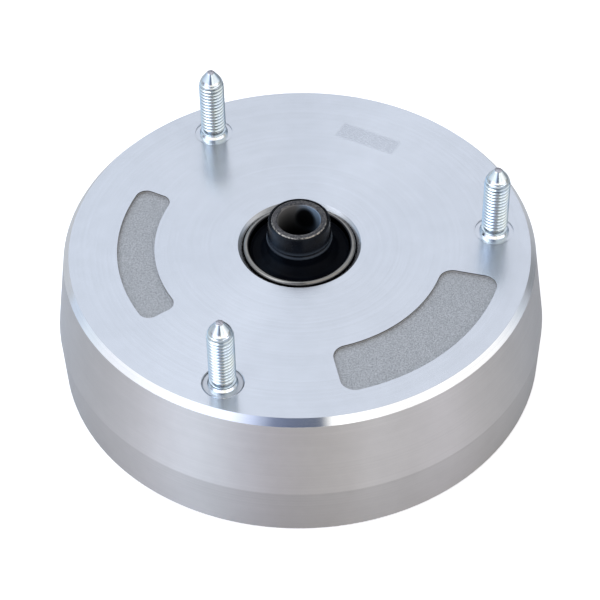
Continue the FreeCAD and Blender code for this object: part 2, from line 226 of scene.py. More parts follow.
def short_of(tree, value, limit, soft):
    """1 where the value is short of a limit, with a soft edge."""
    return span(tree, value, limit - soft, limit + soft, 1.0, 0.0)


def between(tree, value, low, high, soft):
    """1 where the value lies between two limits, with soft edges."""
    return times(tree, past(tree, value, low, soft), short_of(tree, value, high, soft))


def places(tree):
    """X, Y, Z, distance from the bush's axis and angle about it, in the frame's metres."""
    where = add(tree, "ShaderNodeTexCoord").outputs["Object"]
    parts = add(tree, "ShaderNodeSeparateXYZ", Vector=where).outputs
    flat = add(tree, "ShaderNodeCombineXYZ", X=parts[0], Y=parts[1]).outputs[0]
    away = add(tree, "ShaderNodeVectorMath", operation="LENGTH")
    tree.links.new(flat, away.inputs[0])
    angle = maths(tree, "ARCTAN2", parts[1], parts[0])
    return parts[0], parts[1], parts[2], away.outputs["Value"], angle, where


def from_studs(tree, x, y):
    """Distance to the nearest stud's axis."""
    nearest = 1.0
    for side in STUDS:
        low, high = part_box("stud_" + side)
        across = minus(tree, x, (low[0] + high[0]) / 2)
        along = minus(tree, y, (low[1] + high[1]) / 2)
        squares = plus(tree, times(tree, across, across), times(tree, along, along))
        nearest = maths(tree, "MINIMUM", nearest, maths(tree, "SQRT", squares))
    return nearest


def noise(tree, vector, scale, detail=2.0, roughness=0.5):
    """Soft random spots, about one over the scale across."""
    made = add(tree, "ShaderNodeTexNoise", Vector=vector, Scale=scale, Detail=detail, Roughness=roughness)
    return made.outputs["Fac"]


def turned_lines(tree, away, height, angle, scale):
    """Noise that runs round the axis as tool marks do: fine across the cut and long along it."""
    along = times(tree, angle, MARKS_DRIFT / scale)
    vector = add(tree, "ShaderNodeCombineXYZ", X=away, Y=along, Z=height).outputs[0]
    return noise(tree, vector, scale, 3.0, 0.65)


def bump(tree, height, distance, strength=1.0):
    """A normal that follows a height."""
    return add(tree, "ShaderNodeBump", Height=height, Distance=distance, Strength=strength).outputs[0]


def principled(tree, **settings):
    return add(tree, "ShaderNodeBsdfPrincipled", **settings).outputs[0]


def layered(tree, factor, under, over):
    """One shader laid over another."""
    made = add(tree, "ShaderNodeMixShader", Fac=factor)
    tree.links.new(under, made.inputs[1])
    tree.links.new(over, made.inputs[2])
    return made.outputs[0]


def output(tree, shader):
    add(tree, "ShaderNodeOutputMaterial", Surface=shader)


# Studs

PITCH = 1.25 * MM
ROWS_PER_TURN = 10
THREAD_DEPTH = 0.68 * MM
CREST, ROOT = 0.14, 0.16
TIP_RADIUS = 1.15 * MM
TIP_BREAK = 0.12 * MM
NOSE_LENGTH = 3.9 * MM
NOSE_ROUND = 6.5 * MM
THREAD_RADIUS = 3.98 * MM
COLLAR_RADIUS = 4.5 * MM
COLLAR_TOP = TOP + 0.3 * MM
COLLAR_FLARE = 1.5 * MM
GROOVE_WIDTH = 0.45 * MM
GROOVE_SLOPE = 1.6
HEAD_THICKNESS = 2.5 * MM
STUD_SEGMENTS = 72
STUD_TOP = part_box("stud_front")[1][2]
THREAD_END = STUD_TOP - NOSE_LENGTH - 0.7 * MM


# Housing's material

ALUMINIUM = (0.74, 0.755, 0.785)
# The side wall is the same metal as the top, painted darker as shade; the band below the girth is painted
# darker still as shade
WALL = (0.675, 0.657, 0.652)
BAND = (0.612, 0.595, 0.59)
BRIGHT_CUT = (0.93, 0.94, 0.95)
SEAT_WALL = (0.72, 0.74, 0.78)
BLASTED_DARK, BLASTED_PALE = (0.335, 0.343, 0.355), (0.595, 0.605, 0.62)
# Recess sides: painted shade, near black at the top edge and dark at the foot
RECESS_EDGE_SHADE, RECESS_SIDE_SHADE, RECESS_FOOT_SHADE = (0.10, 0.09, 0.085), (0.62, 0.61, 0.58), (0.30, 0.28, 0.26)
FROSTED = (0.42, 0.44, 0.48)

CHAMFER_FOOT = TOP - 2.05 * MM
CHAMFER_INSIDE = 70.45 * MM
GIRTH_HEIGHT = 17.15 * MM
HOLE_CHAMFER_OUTSIDE = 18.85 * MM
SEAT_RADIUS = 6.0 * MM
FRONT_STUD_SIDE = -25 * MM
RECESS_FLOOR = TOP - 1.0 * MM
RECESS_INSIDE, RECESS_OUTSIDE = 43.5 * MM, 63 * MM
RECESS_TO_STUD = 6.25 * MM
DARK_EDGE_FOOT = TOP - 0.42 * MM
PALE_SIDE_FOOT = TOP - 0.75 * MM
PATCH_CENTRE = (22.6 * MM, 47.3 * MM)
PATCH_SIZE = (20.0 * MM, 6.5 * MM)
PATCH_TURN = math.radians(-29)
PATCH_SOFT = 0.5 * MM


def housing_zones(tree, x, y, z, away):
    """Masks of the turned zones, each 1 inside its zone, and the distance to the nearest stud."""
    outside = past(tree, away, CHAMFER_INSIDE, 0.02 * MM)
    wall = times(tree, outside, span(tree, z, CHAMFER_FOOT - 0.04 * MM, CHAMFER_FOOT + 0.02 * MM, 1.0, 0.0))
    from_stud = from_studs(tree, x, y)
    at_front = short_of(tree, y, FRONT_STUD_SIDE, 5 * MM)
    return {
        "outside": outside,
        "wall": wall,
        "edge": minus(tree, outside, wall),
        "band": short_of(tree, z, GIRTH_HEIGHT, 0.1 * MM),
        "front": at_front,
        # The front stud's seat: a rougher surface, and painted shade in its colour
        "worn": times(tree, short_of(tree, from_stud, SEAT_RADIUS, 0.02 * MM), at_front),
        "from_stud": from_stud,
    }


def turned_colour(tree, zones, away, marks, cloud):
    """The metal's colour, varied by the tool marks and faint clouds, with painted shade on the side wall and
    band, on the front stud's seat and in its corner, and on the hole's chamfer and wall.
    """
    # Painted shade: the side wall and the band below the girth are darker than the top
    tone = blend_colours(tree, zones["wall"], ALUMINIUM, blend_colours(tree, zones["band"], WALL, BAND))
    tone = blend_colours(tree, zones["edge"], tone, BRIGHT_CUT)
    # Painted shade in the corner of the front stud's seat
    corner = span(tree, zones["from_stud"], SEAT_RADIUS - 0.4 * MM, SEAT_RADIUS - 0.2 * MM)
    corner = times(tree, zones["worn"], corner)
    shade = span(tree, marks, 0.35, 0.65, 0.945, 1.02)
    shade = times(tree, shade, span(tree, cloud, 0.3, 0.7, 0.972, 1.02))
    # Painted shade over the front stud's seat
    shade = times(tree, shade, fade(tree, zones["worn"], 1.0, 0.82))
    shade = times(tree, shade, fade(tree, corner, 1.0, 0.68))
    # Painted shade on the hole's chamfer and down the hole
    hole_shade = span(tree, away, HOLE_CHAMFER_OUTSIDE - 0.05 * MM, HOLE_CHAMFER_OUTSIDE, 0.77, 1.0)
    shade = times(tree, shade, hole_shade)
    grey = add(tree, "ShaderNodeCombineXYZ", X=shade, Y=shade, Z=shade).outputs[0]
    return blend_colours(tree, 1.0, tone, grey, "MULTIPLY")


def turned_surface(tree, zones, z, away, angle, where):
    """Fine tool marks round the axis on the top face, wall and band, and a bright cut on the top edge."""
    fine = turned_lines(tree, away, z, angle, 5200)
    broad = turned_lines(tree, away, z, angle, 1300)
    marks = plus(tree, times(tree, fine, 0.6), times(tree, broad, 0.4))
    colour = turned_colour(tree, zones, away, marks, noise(tree, where, 120, 3.0, 0.6))
    rough = plus(tree, span(tree, marks, 0.3, 0.7, 0.21, 0.24), times(tree, zones["wall"], 0.2))
    rough = minus(tree, rough, times(tree, zones["edge"], 0.11))
    rough = plus(tree, rough, times(tree, zones["worn"], 0.12))
    seat_edge = span(tree, zones["from_stud"], SEAT_RADIUS - 0.05 * MM, SEAT_RADIUS + 0.3 * MM)
    relief = bump(tree, seat_edge, 0.3 * MM, fade(tree, zones["front"], 0.15, 1.0))
    normal = add(tree, "ShaderNodeBump", Height=marks, Distance=0.0012 * MM, Normal=relief).outputs[0]
    tangent = add(tree, "ShaderNodeTangent", direction_type="RADIAL", axis="Z").outputs[0]
    main = principled(tree, Base_Color=colour, Metallic=1.0, Roughness=rough,
                      Anisotropic=fade(tree, zones["wall"], 0.45, 0.95),
                      Anisotropic_Rotation=0.25, Tangent=tangent, Normal=normal)
    sheen = principled(tree, Base_Color=colour, Metallic=1.0, Roughness=0.5, Anisotropic=0.95,
                       Anisotropic_Rotation=0.25, Tangent=tangent, Normal=normal)
    return layered(tree, fade(tree, zones["outside"], 0.12, 0.0), main, sheen)


def with_seat_walls(tree, surface, zones, z):
    """The surface with pale rough walls round the seats of the rear and right studs."""
    mask = between(tree, zones["from_stud"], SEAT_RADIUS - 0.04 * MM, SEAT_RADIUS + 0.04 * MM, 0.01 * MM)
    mask = times(tree, mask, short_of(tree, z, TOP - 0.015 * MM, 0.005 * MM))
    mask = times(tree, mask, fade(tree, zones["front"], 0.7, 0.0))
    return layered(tree, mask, surface, principled(tree, Base_Color=(*SEAT_WALL, 1), Roughness=0.6))


def with_recesses(tree, surface, zones, z, away, grain):
    """The surface with the recesses' blasted floors, and milled sides painted darker as shade, darkest along
    their top edge and at their foot.
    """
    wide = times(tree, between(tree, away, RECESS_INSIDE, RECESS_OUTSIDE, 0.1 * MM),
                 past(tree, zones["from_stud"], RECESS_TO_STUD, 0.05 * MM))
    tone = blend_colours(tree, span(tree, grain, 0.38, 0.62), BLASTED_DARK, BLASTED_PALE)
    blasted = principled(tree, Base_Color=tone, Metallic=0.85, Roughness=0.62,
                         Normal=bump(tree, grain, 0.12 * MM))
    floor = between(tree, z, RECESS_FLOOR - 0.2 * MM, RECESS_FLOOR + 0.1 * MM, 0.02 * MM)
    surface = layered(tree, times(tree, floor, wide), surface, blasted)
    # Painted shade on the recesses' sides, darkest at the top edge and at the foot
    tone = blend_colours(tree, past(tree, z, DARK_EDGE_FOOT, 0.04 * MM), RECESS_SIDE_SHADE, RECESS_EDGE_SHADE)
    tone = blend_colours(tree, past(tree, z, PALE_SIDE_FOOT, 0.05 * MM), RECESS_FOOT_SHADE, tone)
    milled = principled(tree, Base_Color=tone, Metallic=0.9, Roughness=0.4)
    side = between(tree, z, RECESS_FLOOR + 0.1 * MM, TOP - 0.015 * MM, 0.01 * MM)
    return layered(tree, times(tree, side, wide), surface, milled)


def with_patch(tree, surface, x, y, z, grain):
    """The surface with a bare rectangle of fine frosting on the top face."""
    from_x, from_y = minus(tree, x, PATCH_CENTRE[0]), minus(tree, y, PATCH_CENTRE[1])
    cosine, sine = math.cos(PATCH_TURN), math.sin(PATCH_TURN)
    along = plus(tree, times(tree, from_x, cosine), times(tree, from_y, sine))
    across = minus(tree, times(tree, from_y, cosine), times(tree, from_x, sine))
    half_length, half_width = PATCH_SIZE[0] / 2, PATCH_SIZE[1] / 2
    inside = times(tree, between(tree, along, -half_length, half_length, PATCH_SOFT),
                   between(tree, across, -half_width, half_width, PATCH_SOFT))
    inside = times(tree, inside, span(tree, z, TOP - 0.1 * MM, TOP - 0.05 * MM))
    streaked = add(tree, "ShaderNodeCombineXYZ", X=times(tree, along, 0.3), Y=across).outputs[0]
    frost = times(tree, inside, span(tree, noise(tree, streaked, 2350), 0.35, 0.65, 0.16, 0.4))
    frosted = principled(tree, Base_Color=(*FROSTED, 1), Metallic=0.9, Roughness=0.55,
                         Normal=bump(tree, grain, 0.03 * MM))
    return layered(tree, frost, surface, frosted)


def aluminium():
    """The housing: turned faces, blasted recess floors inside milled edges, and one frosted patch."""
    material, tree = new_material("turned_aluminium")
    x, y, z, away, angle, where = places(tree)
    zones = housing_zones(tree, x, y, z, away)
    grain = noise(tree, where, 2700, 2.0, 0.75)
    surface = turned_surface(tree, zones, z, away, angle, where)
    surface = with_seat_walls(tree, surface, zones, z)
    surface = with_recesses(tree, surface, zones, z, away, grain)
    output(tree, with_patch(tree, surface, x, y, z, grain))
    return material


# Materials of the studs and the bush

ZINC_BLUE, ZINC_GREEN = (0.66, 0.76, 0.86), (0.75, 0.82, 0.83)
THREAD_ROOT_SHADE = (0.21, 0.24, 0.27)
SHEARED_DARK, SHEARED_PALE = (0.34, 0.33, 0.35), (0.66, 0.64, 0.67)
CAN_STEEL = (0.42, 0.40, 0.365), (0.20, 0.19, 0.175)
SPRING_STEEL = (0.10, 0.10, 0.11), (0.04, 0.04, 0.045)
BUSH_RUBBER = (0.0015, 0.002, 0.0035), (0.004, 0.006, 0.010)
SEAL_RUBBER = (0.010, 0.010, 0.011), (0.02, 0.02, 0.021)
# Painted dark reflection on the inner half of the can's lip
LIP_DARK_REFLECTION = (0.02, 0.02, 0.022)
PHOSPHATE, SCUFFED, SCUFFED_RIM = (0.04, 0.04, 0.045), (0.27, 0.255, 0.24), (0.46, 0.425, 0.375)
# Painted light in the sleeve's bore: a grey reflection on the left, a blue one on the right, and a near black
# for its shade
BORE_LEFT_REFLECTION, BORE_RIGHT_REFLECTION, BORE_PAINTED_DARK = (0.165, 0.161, 0.156), (0.24, 0.32, 0.42), (0.003, 0.003, 0.004)
# Painted highlights on the rubber: a bluish one on the neck's front left, and one along the bead and roll
NECK_HIGHLIGHT, BEAD_HIGHLIGHT = (0.016, 0.025, 0.038), (0.028, 0.035, 0.045)

# The painted dark reflection in the sleeve's bore: its centre and half sizes across and down
DARK_REFLECTION_X, DARK_REFLECTION_HALF = 2.0 * MM, 3.0 * MM
DARK_REFLECTION_DEPTH, DARK_REFLECTION_HALF_DEPTH = 5.5 * MM, 4.0 * MM
BORE_LIT_DEPTH = 12 * MM
# Where round the axis the neck's painted highlight lies
HIGHLIGHT_FROM, HIGHLIGHT_TO, HIGHLIGHT_SOFT = math.radians(-155), math.radians(-127), math.radians(12)


def zinc():
    """Bright zinc plating with a blue and green cast, with painted shade in the thread's roots, and dull on
    the sheared tip.
    """
    material, tree = new_material("bright_zinc")
    x, y, z, _, _, where = places(tree)
    cloud = noise(tree, where, 160, 3.0)
    grain = noise(tree, where, 2500, 2.0)
    colour = blend_colours(tree, span(tree, cloud, 0.35, 0.65), ZINC_BLUE, ZINC_GREEN)
    threaded = between(tree, z, COLLAR_TOP + COLLAR_FLARE, THREAD_END, 0.05 * MM)
    from_stud = from_studs(tree, x, y)
    # Painted shade in the thread's roots
    root = span(tree, from_stud, THREAD_RADIUS - THREAD_DEPTH, THREAD_RADIUS - 0.22 * MM, 1.0, 0.0)
    colour = blend_colours(tree, times(tree, threaded, root), colour, THREAD_ROOT_SHADE)
    sheared = span(tree, z, STUD_TOP - 0.12 * MM, STUD_TOP - 0.06 * MM)
    mottle = blend_colours(tree, span(tree, grain, 0.4, 0.6), SHEARED_DARK, SHEARED_PALE)
    colour = blend_colours(tree, sheared, colour, mottle)
    rough = plus(tree, span(tree, cloud, 0.3, 0.7, 0.11, 0.17), times(tree, sheared, 0.25))
    normal = bump(tree, grain, 0.004 * MM)
    output(tree, principled(tree, Base_Color=colour, Metallic=1.0, Roughness=rough, Normal=normal))
    return material


def drawn_steel(name, colour, dark, low, high, depth):
    """Steel with marks that run round the axis, and a painted dark reflection of the rubber on the inner half
    of the can's lip, except in front.
    """
    material, tree = new_material(name)
    _, y, z, away, angle, where = places(tree)
    marks = turned_lines(tree, away, z, angle, 3200)
    mottle = noise(tree, where, 700, 4.0, 0.6)
    mix = times(tree, span(tree, marks, 0.3, 0.7), span(tree, mottle, 0.3, 0.7, 0.4, 1.0))
    # Painted dark reflection of the rubber on the inner half of the can's lip, except in front
    painted_light = span(tree, away, CAN_INSIDE + 0.7 * MM, CAN_INSIDE + 1.0 * MM, 1.0, 0.0)
    painted_light = times(tree, painted_light, span(tree, y, -13 * MM, -8 * MM))
    shade = blend_colours(tree, painted_light, blend_colours(tree, mix, dark, colour), LIP_DARK_REFLECTION)
    rough = span(tree, mottle, 0.3, 0.7, low, high)
    normal = bump(tree, marks, depth)
    output(tree, principled(tree, Base_Color=shade, Metallic=1.0, Roughness=rough, Normal=normal))
    return material


def painted_bore(tree, x, z):
    """The bore's painted light: a grey painted reflection on the left, a blue one on the right, painted shade
    that darkens downwards, and one painted dark reflection.
    """
    depth = minus(tree, SLEEVE_HIGH[2], z)
    aside = maths(tree, "DIVIDE", minus(tree, x, DARK_REFLECTION_X), DARK_REFLECTION_HALF)
    under = maths(tree, "DIVIDE", minus(tree, depth, DARK_REFLECTION_DEPTH), DARK_REFLECTION_HALF_DEPTH)
    squares = plus(tree, times(tree, aside, aside), times(tree, under, under))
    # Painted shade down the bore and in one painted dark reflection
    lit = times(tree, span(tree, depth, 0.0, BORE_LIT_DEPTH, 1.0, 0.0), span(tree, squares, 0.55, 1.35))
    painted_light = blend_colours(tree, span(tree, x, -1 * MM, 4 * MM), BORE_LEFT_REFLECTION, BORE_RIGHT_REFLECTION)
    painted_light = blend_colours(tree, maths(tree, "POWER", lit, 1.5), BORE_PAINTED_DARK, painted_light)
    return principled(tree, Base_Color=painted_light, Metallic=0.1, Roughness=0.45, Specular_IOR_Level=0.15)


def phosphated_steel():
    """Dark phosphated steel with scuffed ends, and a bore painted with grey and blue reflections and with
    shade that darkens downwards.
    """
    material, tree = new_material("phosphated_steel")
    x, _, z, away, angle, where = places(tree)
    marks = turned_lines(tree, away, z, angle, 3200)
    mottle = noise(tree, where, 1500, 4.0, 0.7)
    worn = times(tree, span(tree, marks, 0.3, 0.7), span(tree, mottle, 0.4, 0.6, 0.1, 1.0))
    rim = between(tree, away, SLEEVE_RADIUS - 0.42 * MM, SLEEVE_RADIUS - 0.1 * MM, 0.05 * MM)
    scuff = times(tree, rim, span(tree, mottle, 0.46, 0.58, 0.1, 1.0))
    outside = blend_colours(tree, scuff, blend_colours(tree, worn, PHOSPHATE, SCUFFED), SCUFFED_RIM)
    rough = span(tree, mottle, 0.3, 0.7, 0.28, 0.42)
    normal = bump(tree, marks, 0.012 * MM)
    steel = principled(tree, Base_Color=outside, Metallic=1.0, Roughness=rough, Normal=normal)
    bore = span(tree, away, SLEEVE_BORE + 0.05 * MM, SLEEVE_BORE + 0.12 * MM, 1.0, 0.0)
    output(tree, layered(tree, bore, steel, painted_bore(tree, x, z)))
    return material


def moulded_rubber(name, colour, sheen, gloss=None):
    """Smooth black rubber with a faint mould grain; the neck can be glossier than the dish, and carries
    painted sheen, a painted highlight on its front left and painted highlights along its bead.
    """
    material, tree = new_material(name)
    _, _, z, away, angle, where = places(tree)
    cloud = noise(tree, where, 240, 4.0, 0.6)
    grain = noise(tree, where, 3000, 2.0)
    neck = times(tree, span(tree, away, NECK_RADIUS, NECK_RADIUS + 0.5 * MM, 1.0, 0.0),
                 past(tree, z, NECK_FOOT, 0.2 * MM))
    # Painted sheen: the paler second colour comes through on the neck far more than in the dish, where it
    # only mottles
    tone = times(tree, span(tree, cloud, 0.35, 0.7), plus(tree, times(tree, neck, 0.7), 0.3))
    shade = blend_colours(tree, tone, colour, sheen)
    # Painted bluish highlight on the neck's front left, fainter on the dish
    painted_highlight = times(tree, between(tree, angle, HIGHLIGHT_FROM, HIGHLIGHT_TO, HIGHLIGHT_SOFT), fade(tree, neck, 0.22, 1.0))
    painted_highlight = times(tree, painted_highlight, span(tree, cloud, 0.3, 0.6, 0.5, 1.0))
    shade = blend_colours(tree, painted_highlight, shade, NECK_HIGHLIGHT)
    # Painted highlights along the bead and the roll
    bead_highlight = times(tree, neck, span(tree, away, BEAD_RADIUS - 0.1 * MM, BEAD_RADIUS - 0.02 * MM))
    shade = blend_colours(tree, bead_highlight, shade, BEAD_HIGHLIGHT)
    level = fade(tree, neck, *gloss) if gloss else 0.12
    output(tree, principled(tree, Base_Color=shade, Roughness=fade(tree, neck, 0.42, 0.22),
                            Specular_IOR_Level=level, Normal=bump(tree, grain, 0.01 * MM)))
    return material


MATERIALS = {
    "housing": aluminium(),
    "stud": zinc(),
    "can": drawn_steel("drawn_steel", *CAN_STEEL, 0.12, 0.20, 0.004 * MM),
    "sleeve": phosphated_steel(),
    "spring_steel": drawn_steel("oiled_steel", *SPRING_STEEL, 0.25, 0.4, 0.012 * MM),
    "rubber": moulded_rubber("bush_rubber_black", *BUSH_RUBBER, gloss=(0.03, 0.10)),
    "seal": moulded_rubber("seal_rubber_black", *SEAL_RUBBER),
}


def dress_nodes():
    """Gives each kept CAD node the material of its slot."""
    slots = {item["node"]: item["material_slot"] for item in frame["record"]["subparts"]}
    for name, thing in nodes.items():
        thing.data.materials.clear()
        thing.data.materials.append(MATERIALS[slots[name]])


# Threaded studs

def nose_radius(height, tip):
    """The nose's outline: a broken edge at the flat end, a cone, and a round into the thread's outside."""
    drop = tip - height
    slope = math.atan((THREAD_RADIUS - TIP_RADIUS) / NOSE_LENGTH)
    reach = NOSE_ROUND * math.tan(slope / 2)
    if drop > NOSE_LENGTH + reach:
        return THREAD_RADIUS
    if drop > NOSE_LENGTH - reach * math.cos(slope):
        rise = NOSE_LENGTH + reach - drop
        return THREAD_RADIUS - NOSE_ROUND + math.sqrt(NOSE_ROUND ** 2 - rise ** 2)
    return TIP_RADIUS + drop * math.tan(slope) - max(0.0, TIP_BREAK - drop)


def groove_depth(phase):
    """Depth of the thread's groove, 0 on the crest and 1 at the root, over one pitch."""
    rise = abs((phase % 1.0) * 2 - 1)
    return min(1.0, max(0.0, (rise - CREST) / (1 - CREST - ROOT)))


def thread_mesh(mesh, centre, start, tip):
    """A true helical thread that starts from a groove and runs up to the nose, and the nose itself."""
    root = THREAD_RADIUS - THREAD_DEPTH
    rows = int((tip - start) / PITCH * ROWS_PER_TURN) + ROWS_PER_TURN + 2
    columns = []
    for segment in range(STUD_SEGMENTS):
        turn = segment / STUD_SEGMENTS
        column = []
        for row in range(rows):
            height = start + PITCH * ((row - ROWS_PER_TURN) / ROWS_PER_TURN + turn)
            height = min(max(height, start), tip)
            radius = THREAD_RADIUS - THREAD_DEPTH * groove_depth(row / ROWS_PER_TURN)
            groove = root + max(0.0, height - start - GROOVE_WIDTH) * GROOVE_SLOPE
            radius = min(radius, groove, nose_radius(height, tip))
            angle = 2 * math.pi * turn
            across, along = centre[0] + radius * math.cos(angle), centre[1] + radius * math.sin(angle)
            column.append(mesh.verts.new((across, along, height)))
        columns.append(column)
    for segment, column in enumerate(columns):
        last = segment == STUD_SEGMENTS - 1
        beside = columns[0] if last else columns[segment + 1]
        shift = ROWS_PER_TURN if last else 0
        for row in range(rows - 1):
            if row + 1 + shift < rows:
                mesh.faces.new((column[row], beside[row + shift], beside[row + 1 + shift], column[row + 1]))
    bmesh.ops.remove_doubles(mesh, verts=mesh.verts, dist=0.003 * MM)
    bmesh.ops.holes_fill(mesh, edges=[edge for edge in mesh.edges if edge.is_boundary], sides=0)


def shank_profile(low, head_radius):
    """Head, plain shank and collar, as (radius, height, round) corners."""
    root = THREAD_RADIUS - THREAD_DEPTH
    thread_foot = COLLAR_TOP + COLLAR_FLARE
    return [
        (AXIS_HOLE, low, 0), (head_radius, low, 0.4 * MM), (head_radius, low + HEAD_THICKNESS, 0.1 * MM),
        (COLLAR_RADIUS, low + HEAD_THICKNESS, 0), (COLLAR_RADIUS, COLLAR_TOP, 0.25 * MM),
        (THREAD_RADIUS + 0.05 * MM, COLLAR_TOP + COLLAR_FLARE * 0.55, 0.6 * MM),
        (THREAD_RADIUS, COLLAR_TOP + COLLAR_FLARE * 0.9, 0.12 * MM),
        (root, thread_foot + 0.05 * MM, 0.1 * MM), (root, thread_foot + 0.3 * MM, 0),
        (AXIS_HOLE, thread_foot + 0.3 * MM, 0),
    ]


def build_studs():
    """The three studs, each one mesh of shank and thread."""
    for side in STUDS:
        low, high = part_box("stud_" + side)
        centre = [(a + b) / 2 for a, b in zip(low, high)]
        mesh = lathe(rounded(shank_profile(low[2], (high[0] - low[0]) / 2)), STUD_SEGMENTS)
        bmesh.ops.translate(mesh, verts=mesh.verts, vec=(centre[0], centre[1], 0))
        thread = bmesh.new()
        thread_mesh(thread, centre, COLLAR_TOP + COLLAR_FLARE + 0.1 * MM, high[2])
        spare = bpy.data.meshes.new("spare")
        thread.to_mesh(spare)
        thread.free()
        mesh.from_mesh(spare)
        finish_mesh("threaded_stud_" + side, mesh, "mount", "stud", MATERIALS["stud"], "stud_" + side)


# Can and rubber

def build_can():
    """The can, whose lip flares a little and ends flush with the top face, as in the photograph."""
    low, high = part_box("bush_can")
    outer, lip = high[0], high[0] + LIP_FLARE
    wall = outer - CAN_INSIDE
    flare_low, flare_high = TOP - 5 * MM, TOP - 2.2 * MM
    profile = [
        (outer - wall, low[2], 0), (outer, low[2], 0), (outer, flare_low, FLARE_ROUND),
        (lip, flare_high, FLARE_ROUND), (lip, TOP, LIP_ROUND), (lip - wall, TOP, LIP_ROUND),
        (lip - wall, flare_high, FLARE_ROUND), (outer - wall, flare_low, FLARE_ROUND),
    ]
    mesh = lathe(rounded(profile, 8))
    finish_mesh("flared_can", mesh, "mount", "can", MATERIALS["can"], "bush_can", math.radians(60))


def upper_rubber():
    """The neck and dish above, as (radius, height, round) corners."""
    inner, outer = SLEEVE_RADIUS + BOND_GAP, RUBBER_RADIUS
    skin, bead, roll = inner + 0.65 * MM, inner + 1.15 * MM, inner + 1.35 * MM
    waist, crease = roll - 0.25 * MM, bead - 0.25 * MM
    floor, neck_top = TOP - 2.6 * MM, RUBBER_HIGH[2]
    under = floor - 1.2 * MM
    return [
        (inner + 1.0 * MM, under, 0), (outer, under, 0), (outer, floor + 0.8 * MM, 0.1 * MM),
        (outer - 0.8 * MM, floor, 0.6 * MM), (roll + 2.05 * MM, floor, FOOT_ROUND),
        (waist, floor + 2.2 * MM, FOOT_ROUND), (waist, TOP + 2.3 * MM, 0.2 * MM),
        (roll + 0.1 * MM, TOP + 3.1 * MM, 0.3 * MM), (crease, TOP + 3.8 * MM, 0.1 * MM),
        (bead, TOP + 4.4 * MM, 0.25 * MM), (skin, neck_top, 0.25 * MM), (inner, neck_top, 0.05 * MM),
        (inner, TOP + 1.6 * MM, 0),
    ]


def lower_rubber(roof):
    """The skirt and dish below, as (radius, height, round) corners."""
    inner, outer, foot = SLEEVE_RADIUS + BOND_GAP, RUBBER_RADIUS, RUBBER_LOW[2]
    return [
        (inner, foot, 0.05 * MM), (inner + 0.7 * MM, foot, 0.3 * MM), (inner + 3.4 * MM, roof, FOOT_ROUND),
        (outer, roof, 0), (outer, roof + 2 * MM, 0), (inner + 1.0 * MM, roof + 2 * MM, 0),
    ]


def build_rubber():
    """Both ends of the rubber, between the can and the sleeve."""
    settings = (None, "rubber", MATERIALS["rubber"], "bush_rubber", math.radians(60))
    piece = finish_mesh("rubber_upper", lathe(rounded(upper_rubber())), *settings)
    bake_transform(piece)
    roof = RUBBER_LOW[2] + 6.35 * MM
    piece = finish_mesh("rubber_lower", lathe(rounded(lower_rubber(roof))), *settings)
    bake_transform(piece)


# Stage, light and camera

# Three rings of soft light, each as (degrees round from the camera's side, light)
LOW_RING = (
    (-180, (0.20, 0.20, 0.22)), (-145, (0.88, 1.12, 1.42)), (-118, (0.74, 0.86, 1.04)),
    (-98, (0.25, 0.23, 0.29)), (-80, (0.33, 0.32, 0.39)), (-64, (1.25, 1.25, 1.50)),
    (-50, (2.70, 3.10, 3.80)), (-38, (2.20, 2.60, 3.05)), (-26, (1.65, 1.65, 1.95)),
    (-12, (1.56, 1.33, 1.32)), (4, (1.80, 1.60, 1.33)), (16, (1.20, 1.02, 0.85)),
    (28, (2.25, 2.20, 2.25)), (42, (1.50, 1.42, 1.40)), (58, (2.50, 2.40, 2.60)),
    (75, (1.30, 1.22, 1.20)), (92, (0.44, 0.39, 0.31)), (108, (0.55, 0.56, 0.60)),
    (125, (0.36, 0.38, 0.44)), (150, (0.20, 0.20, 0.22)), (180, (0.20, 0.20, 0.22)),
)
MIDDLE_RING = (
    (-180, (0.25, 0.25, 0.27)), (-140, (0.68, 0.86, 1.08)), (-123, (0.62, 0.74, 0.90)),
    (-111, (0.70, 0.81, 0.96)), (-98, (0.82, 0.90, 1.0)), (-88, (0.95, 0.98, 1.06)),
    (-60, (1.15, 1.18, 1.25)), (-32, (1.15, 1.22, 1.42)), (-22, (0.64, 0.72, 0.95)),
    (-13, (0.20, 0.24, 0.36)), (-6, (0.15, 0.18, 0.27)), (8, (0.135, 0.16, 0.22)),
    (14, (1.50, 1.49, 1.46)), (28, (1.28, 1.26, 1.25)), (45, (1.12, 1.10, 1.09)),
    (84, (1.12, 1.11, 1.11)), (91, (1.06, 1.06, 1.08)), (98, (0.92, 0.94, 0.99)),
    (111, (0.56, 0.63, 0.72)), (123, (0.30, 0.35, 0.40)), (140, (0.25, 0.26, 0.28)),
    (180, (0.25, 0.25, 0.27)),
)
HIGH_RING = (
    (-180, (0.89, 0.955, 1.07)), (-171, (0.90, 0.97, 1.09)), (-125, (0.90, 0.965, 1.08)),
    (-105, (0.95, 1.0, 1.08)), (-84, (1.85, 2.0, 2.25)), (-46, (1.85, 2.0, 2.25)),
    (-28, (0.60, 0.62, 0.68)), (-12, (0.36, 0.40, 0.46)), (14, (0.36, 0.40, 0.46)),
    (24, (0.60, 0.61, 0.64)), (36, (0.95, 0.95, 0.93)), (98, (0.95, 0.95, 0.93)),
    (150, (0.78, 0.82, 0.90)), (165, (0.87, 0.92, 1.02)), (173, (0.90, 0.96, 1.07)),
    (180, (0.89, 0.955, 1.07)),
)
# Rise at which the low ring gives way to the middle one, in front and from the sides to the back
LOW_TOP_FRONT, LOW_TOP_BACK, LOW_TOP_SOFT = 0.31, 0.05, 0.05
LOW_TOP_TURN = (math.radians(62), math.radians(102))
# Rise at which the middle ring gives way to the high one, and how much later it does in front
MIDDLE_TO_HIGH = (0.46, 0.60)
HIGH_LIFT_FRONT = 0.17
HIGH_LIFT_TURN = (math.radians(25), math.radians(45))

